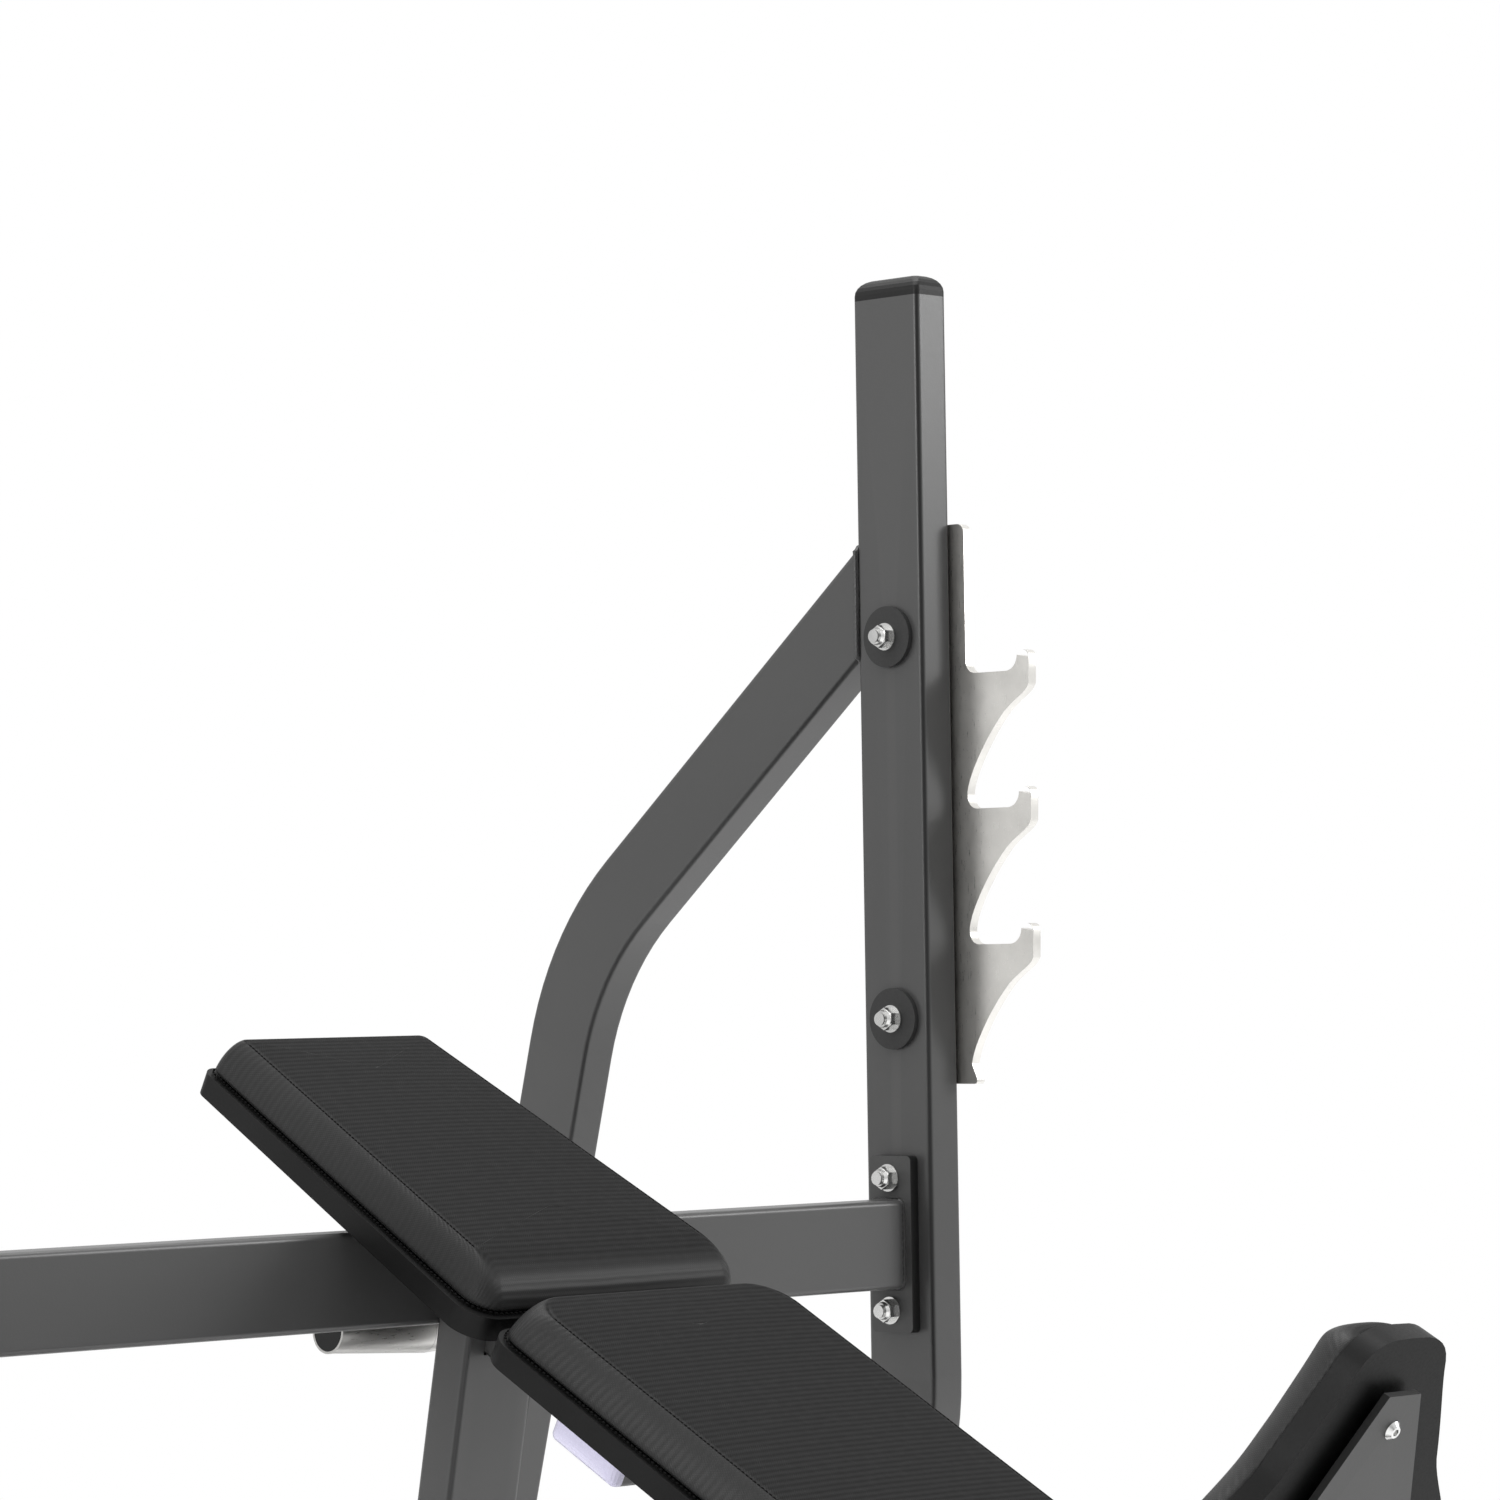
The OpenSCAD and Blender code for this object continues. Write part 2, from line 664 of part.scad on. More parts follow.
// ---- pop pin: it is parked, pulled out, and pushes in by 12 ----

module at_pop() { at_slope() translate([0, plate_face, pop_z]) rotate([0, -90, 0]) children(); }
module pop_pin_housing() {
    color(zinc) at_pop() difference() {
        union() {
            translate([0, 0, sleeve_x - sleeve_wall]) cylinder(d = 15.8, h = sleeve_wall);
            translate([0, 0, sleeve_x]) hex(24, 7);
            translate([0, 0, sleeve_x + 7]) cylinder(d = 20, h = 21);
        }
        cylinder(d = pop_d + 0.12, h = 100);
    }
}
module pop_pin() {
    color(zinc) at_pop() {
        translate([0, 0, 22.5]) cylinder(d = pop_d, h = 60);
        translate([0, 0, 21]) cylinder(d1 = pop_d - 3, d2 = pop_d, h = 1.5);
    }
}
module pop_pin_knob() {
    color(black) at_pop() difference() {
        union() {
            translate([0, 0, 70]) cylinder(d1 = 22, d2 = 30, h = 6);
            translate([0, 0, 76]) cylinder(d = 34, h = 12);
            translate([0, 0, 88]) cylinder(d1 = 34, d2 = 28, h = 3);
        }
        translate([0, 0, 60]) cylinder(d = pop_d, h = 22.5);
    }
}

// ---- nodes ----

upright_left();
upright_right();
rear_brace_left();
rear_brace_right();
crossbar();
crossbar_flange_left();
crossbar_flange_right();
centre_leg();
main_rail();
front_post();
base_spine();
front_foot();
floor_crossbar();
side_base_left();
side_base_right();
head_pad_bracket();
pad_arms();
pad_arm_caps();
pin_bracket();
collar_pin_left();
collar_pin_right();
collar_pin_caps();
hook_plate_left();
hook_plate_right();
spacer_discs();
hook_bolts();
hook_washers();
hook_nuts();
crossbar_bolts();
crossbar_washers();
crossbar_nuts();
upright_cap_left();
upright_cap_right();
base_end_caps();
rail_end_cap();
rubber_feet();
head_pad_board();
head_pad_cushion();
back_pad_board();
back_pad_cushion();
pad_bolts();
seat_board_panel();
seat_cushion();
seat_plate();
seat_spacers();
seat_screws();
seat_carriage();
carriage_liners();
pop_pin_housing();
pop_pin();
pop_pin_knob();
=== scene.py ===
"""Looks for the olympic incline bench: cushions, stitching, weld beads, materials, light and camera."""
import json
import math

import bmesh
import bpy
import numpy as np
from mathutils import Matrix, Vector


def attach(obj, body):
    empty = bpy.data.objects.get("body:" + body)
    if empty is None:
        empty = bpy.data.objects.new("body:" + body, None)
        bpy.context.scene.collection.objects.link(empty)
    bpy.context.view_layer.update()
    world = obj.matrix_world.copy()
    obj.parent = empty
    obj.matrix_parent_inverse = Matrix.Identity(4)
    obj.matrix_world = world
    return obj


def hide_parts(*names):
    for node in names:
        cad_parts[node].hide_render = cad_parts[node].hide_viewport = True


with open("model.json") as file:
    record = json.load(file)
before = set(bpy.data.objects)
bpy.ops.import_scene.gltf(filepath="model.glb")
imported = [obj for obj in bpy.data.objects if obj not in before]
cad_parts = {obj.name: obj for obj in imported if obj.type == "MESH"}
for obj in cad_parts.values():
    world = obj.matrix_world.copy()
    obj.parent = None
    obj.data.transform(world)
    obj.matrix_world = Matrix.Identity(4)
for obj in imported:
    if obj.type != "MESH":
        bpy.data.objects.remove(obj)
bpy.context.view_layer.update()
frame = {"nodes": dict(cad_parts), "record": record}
nodes = frame["nodes"]
MM = 0.001

# ---- driving sizes, the same as in the CAD source; millimetres unless a name says otherwise ----

SLOPE = math.radians(28.0)  # slope of the pads, from the horizontal
BAR_FROM_ORIGIN = 120.0  # the uprights' centre plane, behind the middle of the footprint
PAD_PLANE = 818.0  # height of the pads' top plane at the uprights' centre plane
CUSHION = 36.0  # thickness of a cushion above its board
BASE_OUT = 17.0  # how far a cushion's base stands out past its top seam
BACK_HALF = 137.0  # half the width of the back pad between its seams
SEAT_AT = 888.0  # the seat's cushion face, down the slope from the uprights' centre plane
NOSE = 348.0  # height of the seat's nose above the pads' plane
UPRIGHT_IN, UPRIGHT_OUT = 0.545, 0.585  # inner and outer faces of an upright, in metres
BASE_TOP = 0.050  # top of the base tubes, in metres

PAD_NORMAL = (0.0, -math.sin(SLOPE), math.cos(SLOPE))
SEAT_NORMAL = (0.0, math.cos(SLOPE), math.sin(SLOPE))
BOARD_BACK = (0.0, -math.cos(SLOPE), -math.sin(SLOPE))

# ---- camera: at the photograph's viewing angle, before anything else ----

EYE = (-3.0356, -3.1910, 0.9423)
FILM = 36.0  # width of the film, in millimetres
FOCAL_WIDTHS = 5351.54 / 1500  # focal length in image widths
yaw, pitch, roll = (math.radians(a) for a in (45.7245, 2.4474, 0.8547))
flat = math.cos(pitch)
forward = Vector((math.sin(yaw) * flat, math.cos(yaw) * flat, math.sin(pitch)))
right0 = Vector((math.cos(yaw), -math.sin(yaw), 0.0))
up0 = right0.cross(forward)
right = math.cos(roll) * right0 - math.sin(roll) * up0
up = math.sin(roll) * right0 + math.cos(roll) * up0
camera = bpy.data.objects.new("camera", bpy.data.cameras.new("camera"))
bpy.context.scene.collection.objects.link(camera)
turned = Matrix((right, up, -forward)).transposed().to_4x4()
camera.matrix_world = Matrix.Translation(EYE) @ turned
camera.data.sensor_width = FILM
camera.data.lens = FOCAL_WIDTHS * FILM
camera.data.clip_end = 60.0
bpy.context.scene.camera = camera

# ---- node helpers ----


class Nodes:
    """A short way to write a material's node tree."""

    def __init__(self, name):
        self.mat = bpy.data.materials.new(name)
        self.mat.use_nodes = True
        self.t = self.mat.node_tree
        self.bsdf = self.t.nodes["Principled BSDF"]

    def add(self, kind, inputs=(), **props):
        n = self.t.nodes.new(kind)
        for k, v in props.items():
            setattr(n, k, v)
        for key, value in dict(inputs).items():
            self.put(n, key, value)
        return n

    def put(self, n, key, value):
        socket = n.inputs[key]
        if isinstance(value, bpy.types.NodeSocket):
            self.t.links.new(value, socket)
        else:
            socket.default_value = value

    def set(self, **values):
        for key, value in values.items():
            self.put(self.bsdf, key.replace("_", " "), value)

    def math(self, op, a, b=0.0, c=0.0):
        return self.add("ShaderNodeMath", {0: a, 1: b, 2: c}, operation=op).outputs[0]

    def noise(self, vector, scale, detail=2.0, roughness=0.5):
        return self.add(
            "ShaderNodeTexNoise",
            {"Vector": vector, "Scale": scale, "Detail": detail, "Roughness": roughness},
        ).outputs["Fac"]

    def ramp(self, value, low, high, to_low, to_high):
        return self.add(
            "ShaderNodeMapRange", {0: value, 1: low, 2: high, 3: to_low, 4: to_high}
        ).outputs[0]

    def mix(self, factor, a, b):
        n = self.add("ShaderNodeMix", data_type="RGBA")
        self.put(n, 0, factor)
        self.put(n, 6, a)
        self.put(n, 7, b)
        return n.outputs[2]

    def bump(self, height, distance, strength=1.0):
        n = self.add("ShaderNodeBump", {"Strength": strength, "Distance": distance, "Height": height})
        return n.outputs[0]

    def place(self):
        return self.add("ShaderNodeTexCoord").outputs["Object"]

    def facing(self):
        return self.add("ShaderNodeTexCoord").outputs["Normal"]

    def towards(self, way):
        """The cosine between the surface's own normal and a fixed direction of the object."""
        return self.add(
            "ShaderNodeVectorMath", {0: self.facing(), 1: way}, operation="DOT_PRODUCT"
        ).outputs["Value"]

    def wave(self, along, pitch):
        return self.math("SINE", self.math("MULTIPLY", along, 2 * math.pi / pitch))

    def specular(self, level):
        self.bsdf.inputs["Specular IOR Level"].default_value = level

    def scaled(self, vector, scale):
        return self.add("ShaderNodeMapping", {"Vector": vector, "Scale": scale}).outputs[0]


def grey(v, tint=(1.0, 1.0, 1.0)):
    return (v * tint[0], v * tint[1], v * tint[2], 1.0)


def powder_coat(name, value, rough=0.33, specular=0.6, painted_rim_shade=False):
    """Satin powder coat: fine orange peel, slow drift of tone, a painted highlight that makes sharp
    edges lighter, and painted shade that makes the rounded corners down the sides of a tube darker.
    With the rim flag set, the painted shade instead darkens every face that does not look across the
    bench."""
    m = Nodes(name)
    p = m.place()
    drift = m.noise(p, 3.0, 3.0)
    peel = m.noise(p, 520.0, 2.0, 0.6)
    grain = m.noise(p, 1900.0, 1.0)
    edge = m.add("ShaderNodeNewGeometry").outputs["Pointiness"]
    # painted highlight: edges that the pointiness marks as sharp are painted lighter
    painted_edge_highlight = m.ramp(edge, 0.56, 0.66, 0.0, 0.35)
    warmer = grey(value * 1.07, (1, 1, 0.99))
    tone = m.mix(m.ramp(drift, 0.3, 0.7, 0.0, 1.0), grey(value * 0.93), warmer)
    color = m.mix(painted_edge_highlight, tone, grey(value * 1.9))
    # painted shade: faces between the main directions (the rounded corners) are painted darker; with
    # the rim flag, faces that don't look across the bench are
    across = m.math("ABSOLUTE", m.add("ShaderNodeSeparateXYZ", {0: m.facing()}).outputs[0])
    if painted_rim_shade:
        painted_shade_mix = m.ramp(across, 0.5, 0.9, 0.0, 1.0)
    else:
        along = m.math("SQRT", m.math("SUBTRACT", 1.0001, m.math("MULTIPLY", across, across)))
        painted_shade_mix = m.ramp(m.math("MINIMUM", across, along), 0.22, 0.55, 1.0, 0.0)
    color = m.mix(painted_shade_mix, grey(value * 0.12), color)
    m.set(
        Base_Color=color,
        Roughness=m.ramp(grain, 0.2, 0.8, rough - 0.05, rough + 0.06),
        Normal=m.bump(peel, 0.00012, 0.5),
    )
    m.specular(specular)
    return m.mat


def brushed(name, color, rough, along, strength=0.4):
    """Brushed metal: fine lines across one axis and slow darker blotches."""
    m = Nodes(name)
    p = m.place()
    lines = m.noise(m.scaled(p, along), 60.0, 4.0, 0.7)
    blotch = m.noise(p, 22.0, 4.0, 0.6)
    dark = tuple(c * 0.86 for c in color[:3]) + (1.0,)
    m.set(
        Base_Color=m.mix(m.ramp(blotch, 0.35, 0.7, 0.0, 1.0), color, dark),
        Metallic=1.0,
        Roughness=m.ramp(lines, 0.25, 0.75, rough - 0.06, rough + 0.10),
        Normal=m.bump(lines, 0.00008, strength),
    )
    return m.mat


def moulded(
    name, color, rough, grain=700.0, depth=0.00008, coat=0.0, specular=0.5, painted_shade_way=None
):
    """Moulded plastic or rubber with a fine grain. Faces that look along the given shade direction are
    painted darker, as painted shade.
    """
    m = Nodes(name)
    p = m.place()
    fine = m.noise(p, grain, 2.0, 0.6)
    slow = m.noise(p, 9.0, 3.0)
    lighter = tuple(min(1.0, c * 1.18 + 0.002) for c in color[:3]) + (1.0,)
    tone = m.mix(m.ramp(slow, 0.3, 0.7, 0.0, 1.0), color, lighter)
    # painted shade: faces turned the given way are painted near black
    if painted_shade_way is not None:
        tone = m.mix(m.ramp(m.towards(painted_shade_way), 0.80, 0.98, 0.0, 1.0), tone, grey(0.002))
    m.set(
        Base_Color=tone,
        Roughness=m.ramp(fine, 0.3, 0.7, rough - 0.05, rough + 0.05),
        Normal=m.bump(fine, depth, 0.5),
    )
    m.bsdf.inputs["Coat Weight"].default_value = coat
    m.specular(specular)
    return m.mat


def vinyl(name, dark, light, rough):
    """Upholstery vinyl on the piece's own UV map, in metres: soft ribs across, a weave of tiny
    squares, and paler thread dots where the weave stands up."""
    rib_pitch, weave_u, weave_v = 0.0068, 0.0022, 0.0034
    m = Nodes(name)
    uv = m.add("ShaderNodeUVMap", uv_map="UVMap").outputs["UV"]
    xyz = m.add("ShaderNodeSeparateXYZ", {0: uv})
    u, v = xyz.outputs[0], xyz.outputs[1]
    wobble = m.noise(uv, 26.0, 3.0)
    rib = m.wave(m.math("ADD", v, m.math("MULTIPLY", wobble, 0.0016)), rib_pitch)
    weave = m.math("MULTIPLY", m.wave(u, weave_u), m.wave(v, weave_v))
    patch = m.ramp(m.noise(uv, 95.0, 2.0), 0.42, 0.68, 0.0, 1.0)
    dot = m.math("MULTIPLY", m.ramp(weave, 0.62, 0.95, 0.0, 1.0), patch)
    tone = m.mix(m.ramp(rib, -1.0, 1.0, 0.0, 1.0), grey(dark), grey(light, (1, 1, 1.02)))
    height = m.math("ADD", m.math("MULTIPLY", rib, 0.5), m.math("MULTIPLY", weave, 0.28))
    # the flat faces of the pads and of the seat are rougher, so duller, than their rolled edges; the
    # rolled edges and sides carry a painted highlight, a paler colour
    level = m.math("MAXIMUM", m.towards(PAD_NORMAL), m.towards(SEAT_NORMAL))
    face = m.ramp(level, 0.78, 0.985, 0.0, 1.0)
    painted_highlight_rolled = m.mix(dot, grey(light * 2.0), grey(light * 4.0))
    m.set(
        Base_Color=m.mix(face, painted_highlight_rolled, m.mix(dot, tone, grey(light * 3.2))),
        Roughness=m.math(
            "ADD", m.ramp(face, 0.0, 1.0, rough - 0.06, 0.82), m.ramp(weave, -1.0, 1.0, 0.04, -0.04)
        ),
        Normal=m.bump(height, 0.00022, 0.75),
    )
    m.specular(0.16)
    return m.mat


paint = powder_coat("frame_paint", 0.050)
# the flanges' edge faces, which don't look across the bench, carry painted shade
paint_flange = powder_coat("flange_paint", 0.062, 0.40, 0.35, painted_rim_shade=True)
plate_paint = powder_coat("seat_plate_paint", 0.045, 0.45, 0.4)
hook_steel = brushed("hook_steel", (0.80, 0.785, 0.75, 1.0), 0.30, (1.0, 14.0, 1.0))
pin_steel = brushed("pin_steel", (0.70, 0.69, 0.67, 1.0), 0.30, (1.0, 12.0, 12.0))
zinc = brushed("zinc_hardware", (0.74, 0.74, 0.73, 1.0), 0.20, (1.0, 1.0, 1.0), 0.2)
black = moulded("black_plastic", (0.010, 0.010, 0.010, 1.0), 0.42, specular=0.22)
rubber = moulded("black_rubber", (0.014, 0.014, 0.014, 1.0), 0.62, 420.0, 0.00015)
# the boards' backs, which face down the slope, carry painted shade
board = moulded(
    "pad_board", (0.007, 0.007, 0.007, 1.0), 0.40, 520.0, 0.00010, specular=0.12, painted_shade_way=BOARD_BACK
)
pale = moulded("pale_plastic", (0.58, 0.56, 0.72, 1.0), 0.26, 900.0, 0.00003, 0.3)
top_vinyl = vinyl("vinyl", 0.005, 0.012, 0.44)
thread = moulded("thread", (0.003, 0.003, 0.003, 1.0), 0.7, 2500.0, 0.0001, specular=0.05)

by_slot = {
    "frame_paint": paint,
    "hook_steel": hook_steel,
    "pin_steel": pin_steel,
    "zinc_hardware": zinc,
    "black_plastic": black,
    "black_rubber": rubber,
    "pale_plastic": pale,
    "pad_board": board,
    "vinyl": top_vinyl,
}
for part in frame["record"]["subparts"]:
    node = nodes[part["node"]]
    node.data.materials.clear()
    node.data.materials.append(by_slot[part["material_slot"]])
for name in ("crossbar_flange_left", "crossbar_flange_right"):
    nodes[name].data.materials[0] = paint_flange
nodes["seat_plate"].data.materials[0] = plate_paint


def smooth_by_angle(limit=30.0):
    """A node group that shades faces smooth across every edge flatter than the limit."""
    group = bpy.data.node_groups.new("smooth_by_angle", "GeometryNodeTree")
    for way in ("INPUT", "OUTPUT"):
        group.interface.new_socket("Geometry", in_out=way, socket_type="NodeSocketGeometry")
    start = group.nodes.new("NodeGroupInput")
    end = group.nodes.new("NodeGroupOutput")
    faces = group.nodes.new("GeometryNodeSetShadeSmooth")
    edges = group.nodes.new("GeometryNodeSetShadeSmooth")
    edges.domain = "EDGE"
    edges.inputs["Shade Smooth"].default_value = False
    bend = group.nodes.new("GeometryNodeInputMeshEdgeAngle")
    sharp = group.nodes.new("ShaderNodeMath")
    sharp.operation = "GREATER_THAN"
    sharp.inputs[1].default_value = math.radians(limit)
    group.links.new(start.outputs[0], faces.inputs["Geometry"])
    group.links.new(faces.outputs[0], edges.inputs["Geometry"])
    group.links.new(bend.outputs[0], sharp.inputs[0])
    group.links.new(sharp.outputs[0], edges.inputs["Selection"])
    group.links.new(edges.outputs[0], end.inputs[0])
    return group


SMOOTH = smooth_by_angle()


def soften(name, width, angle=35.0):
    """Rounds a CAD node's sharp edges for the render. Its own mesh is not changed."""
    o = nodes[name]
    weld = o.modifiers.new("weld", "WELD")
    weld.merge_threshold = 0.00002
    o.modifiers.new("smooth", "NODES").node_group = SMOOTH
    bevel = o.modifiers.new("edges", "BEVEL")
    bevel.width = width
    bevel.segments = 3
    bevel.limit_method = "ANGLE"
    bevel.angle_limit = math.radians(angle)
    bevel.harden_normals = True


for name, width in {
    "head_pad_board": 0.0035,
    "back_pad_board": 0.0035,
    "seat_board_panel": 0.0030,
    "hook_plate_left": 0.0010,
    "hook_plate_right": 0.0010,
    "crossbar_flange_left": 0.0012,
    "crossbar_flange_right": 0.0012,
}.items():
    soften(name, width)

# ---- cushions ----

# the slope's frame: X, up the slope, and the pads' normal, from the pads' top plane
foot_of_slope = Vector((0, BAR_FROM_ORIGIN, PAD_PLANE)) * MM
to_slope = Matrix.Translation(foot_of_slope) @ Matrix.Rotation(SLOPE, 4, "X")


def rounded_plan(half, s0, s1, r0, r1, n_side, n_end, n_corner=9):
    """Points round a pad's plan with outward normals, counted the same way at every height.
    half is a function of s; r0 and r1 are the corner radii at the low and high ends."""
    pts = []

    def corner(sx, s_end, r, a0):
        way = 1 if s_end == s1 else -1
        cs = s_end - way * r
        cx = sx * (half(cs) - r)
        for i in range(n_corner):
            a = a0 + (math.pi / 2) * (i + 0.5) / n_corner
            pts.append((cx + r * math.cos(a), cs + r * math.sin(a), math.cos(a), math.sin(a)))

    for i in range(n_side):
        s = s0 + r0 + (s1 - r1 - s0 - r0) * i / (n_side - 1)
        pts.append((half(s), s, 1.0, 0.0))
    corner(1, s1, r1, 0.0)
    for i in range(n_end):
        x = (half(s1) - r1) * (1 - 2 * i / (n_end - 1))
        pts.append((x, s1, 0.0, 1.0))
    corner(-1, s1, r1, math.pi / 2)
    for i in range(n_side):
        s = s1 - r1 + (s0 + r0 - s1 + r1) * i / (n_side - 1)
        pts.append((-half(s), s, -1.0, 0.0))
    corner(-1, s0, r0, math.pi)
    for i in range(n_end):
        x = (half(s0) - r0) * (2 * i / (n_end - 1) - 1)
        pts.append((x, s0, 0.0, -1.0))
    corner(1, s0, r0, 1.5 * math.pi)
    return np.array(pts)


def stack(name, rings, medial, n_top, crown):
    """A closed pad from rings of (x, s, z, nx, ns) running from its base to its top edge, and a
    crowned top that closes on the medial line. The first ring's points start at 2 * len(ring)."""
    n = len(rings[0])
    top = rings[-1]
    path = np.zeros((len(rings), n))
    for j in range(len(rings) - 2, -1, -1):
        step = rings[j][:, :3] - rings[j + 1][:, :3]
        path[j] = path[j + 1] + np.linalg.norm(step, axis=1)
    pos, uv = [], []
    for j, ring in enumerate(rings):
        pos.append(ring[:, :3])
        uv.append(top[:, :2] + ring[:, 3:5] * path[j][:, None])
    mid = np.array([medial(p[0], p[1]) for p in top])
    for k in range(1, n_top + 1):
        f = (k / n_top) ** 0.9
        q = top[:, :2] * (1 - f) + mid * f
        z = top[:, 2] + crown * (1 - (1 - f) ** 2.2)
        pos.append(np.column_stack([q, z]))
        uv.append(q)
    base = rings[0][:, :2] * 0.5 + mid * 0.5
    under = np.column_stack([base, rings[0][:, 2]])
    under_mid = np.column_stack([mid, rings[0][:, 2]])
    pos = [under_mid, under] + pos
    uv = [mid, base] + uv
    verts = np.concatenate(pos) * MM
    coords = np.concatenate(uv) * MM
    faces = []
    for j in range(len(pos) - 1):
        for i in range(n):
            a, b = j * n + i, j * n + (i + 1) % n
            faces.append((a, b, b + n, a + n))
    mesh = bpy.data.meshes.new(name)
    mesh.from_pydata([tuple(v) for v in verts], [], faces)
    layer = mesh.uv_layers.new(name="UVMap")
    for poly in mesh.polygons:
        for li in poly.loop_indices:
            layer.data[li].uv = coords[mesh.loops[li].vertex_index]
    obj = bpy.data.objects.new(name, mesh)
    bpy.context.scene.collection.objects.link(obj)
    obj.vertex_groups.new(name="hold")
    return obj


def close_up(obj, level_above=None):
    """Joins the points that meet on the medial line and makes the faces look outward. Above a
    given height the folds that run to the medial line are evened out."""
    bm = bmesh.new()
    bm.from_mesh(obj.data)
    bmesh.ops.remove_doubles(bm, verts=bm.verts, dist=0.00005)
    bmesh.ops.dissolve_degenerate(bm, edges=bm.edges, dist=0.00001)
    bmesh.ops.recalc_face_normals(bm, faces=bm.faces)
    if level_above is not None:
        crown = [v for v in bm.verts if v.co.z > level_above]
        for _ in range(30):
            bmesh.ops.smooth_vert(bm, verts=crown, factor=0.5, use_axis_z=True)
    bm.to_mesh(obj.data)
    bm.free()


def puff(obj, held, cap, pressure=4.0, frames=14):
    """Lets the cover swell as cloth between the points that are held, by at most cap metres."""
    rest = np.array([v.co[:] for v in obj.data.vertices])
    group = obj.vertex_groups["hold"]
    for i in held:
        group.add([int(i)], 1.0, "REPLACE")
    cloth = obj.modifiers.new("cloth", "CLOTH")
    cloth.settings.quality = 6
    cloth.settings.mass = 0.4
    cloth.settings.tension_stiffness = 60
    cloth.settings.compression_stiffness = 60
    cloth.settings.shear_stiffness = 30
    cloth.settings.bending_stiffness = 6
    cloth.settings.use_pressure = True
    cloth.settings.uniform_pressure_force = pressure
    cloth.settings.vertex_group_mass = "hold"
    cloth.settings.effector_weights.gravity = 0.0
    cloth.collision_settings.use_collision = False
    cloth.point_cache.frame_start = 1
    cloth.point_cache.frame_end = frames
    scene = bpy.context.scene
    for f in range(1, frames + 1):
        scene.frame_set(f)
    dg = bpy.context.evaluated_depsgraph_get()
    swollen = np.array([v.co[:] for v in obj.evaluated_get(dg).data.vertices])
    obj.modifiers.remove(cloth)
    scene.frame_set(1)
    move = swollen - rest
    size = np.linalg.norm(move, axis=1)
    print("cloth", obj.name, "moved mm", round(float(size.max()) * 1000, 2))
    keep = np.where(size > 1e-9, np.tanh(size / cap) * cap / np.maximum(size, 1e-9), 0.0)
    obj.data.vertices.foreach_set("co", (rest + move * keep[:, None]).ravel())
    obj.data.update()


def finish_pad(obj, node, body):
    obj.data.transform(to_slope)
    for poly in obj.data.polygons:
        poly.use_smooth = True
    sub = obj.modifiers.new("smooth", "SUBSURF")
    sub.levels = sub.render_levels = 1
    obj.data.materials.append(top_vinyl)
    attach(obj, body)
    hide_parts(node)


FOOT_BAND = -33.5 * MM  # points below this height stay put when a cover swells
SEAM_RING = 9  # the ring at a cushion's top seam; the groove's bottom is the next one


def side_rings(plan, front, rear, r_low, r_high, sink=1.6, rise=35.2):
    """The rings of a pad from its base to its seam, and a groove along its two long seams.
    plan(g, e0, e1, r0, r1) gives the outline g outside the top edge with its ends drawn in by e0
    and e1 and with corner radii r0 and r1."""
    rings = []
    for t in (0.0, 0.10, 0.22, 0.36, 0.50, 0.64, 0.77, 0.88, 0.955, 1.0):
        a = t * math.pi / 2
        h = math.sin(a)
        inset = BASE_OUT * (0.50 * h + 0.50 * h**3)
        e0 = front * (1 - math.cos(a))
        e1 = rear * (1 - math.cos(a))
        r0 = r_low[0] * (1 - h) + r_low[1] * h
        r1 = r_high[0] * (1 - h) + r_high[1] * h
        p = plan(BASE_OUT - inset, e0, e1, r0, r1)
        rings.append(np.column_stack([p[:, :2], np.full(len(p), -CUSHION + rise * h), p[:, 2:]]))
    top = rings[-1]
    long_side = np.abs(top[:, 3]) > 0.75
    for inward, down in ((1.6, 1.0), (3.4, 0.0), (7.0, -0.3)):
        q = top.copy()
        q[:, 0] -= q[:, 3] * inward
        q[:, 1] -= q[:, 4] * inward
        q[:, 2] += np.where(long_side, -down * sink + 0.8, 0.8 * (1 - down * 0.4))
        rings.append(q)
    return rings


def make_pad(name, node, half_top, s0, s1, rear, r_high, n_side, n_end):
    """A pad from s0 to s1 up the slope. Its front end rolls over by more than its rear end; r_high
    holds the rear corner radii at the base and at the seam."""
    front, r_low = 42, (26, 9)

    def plan(g, e0, e1, r0, r1):
        return rounded_plan(lambda s: half_top(s) + g, s0 + e0, s1 - e1, r0, r1, n_side, n_end)

    rings = side_rings(plan, front, rear, r_low, r_high)
    low, high = s0 + front + 60, s1 - rear - 60

    def medial(x, s):
        return (0.0, min(max(s, low), high))

    obj = stack(name, rings, medial, 12, 2.0)
    held = [i for i, v in enumerate(obj.data.vertices) if v.co.z < FOOT_BAND]
    n = len(rings[0])
    for j in (SEAM_RING, SEAM_RING + 1, SEAM_RING + 2):
        held += [(j + 2) * n + i for i in range(n) if abs(rings[j][i, 3]) > 0.75]
    puff(obj, held, 0.0030)
    close_up(obj, 0.0010)
    finish_pad(obj, node, "frame")
    return rings


def head_half(s):
    """Half the head pad's width between its seams: it narrows up the slope."""
    return 115.4 - 0.0735 * s


head_rings = make_pad(
    "head_pad_cover", "head_pad_cushion", head_half, -231, 181, 11, (12, 6), 60, 34
)
back_rings = make_pad(
    "back_pad_cover", "back_pad_cushion", lambda s: BACK_HALF, -785, -254, 11, (27, 34), 80, 36
)


# ---- stitches and seams ----


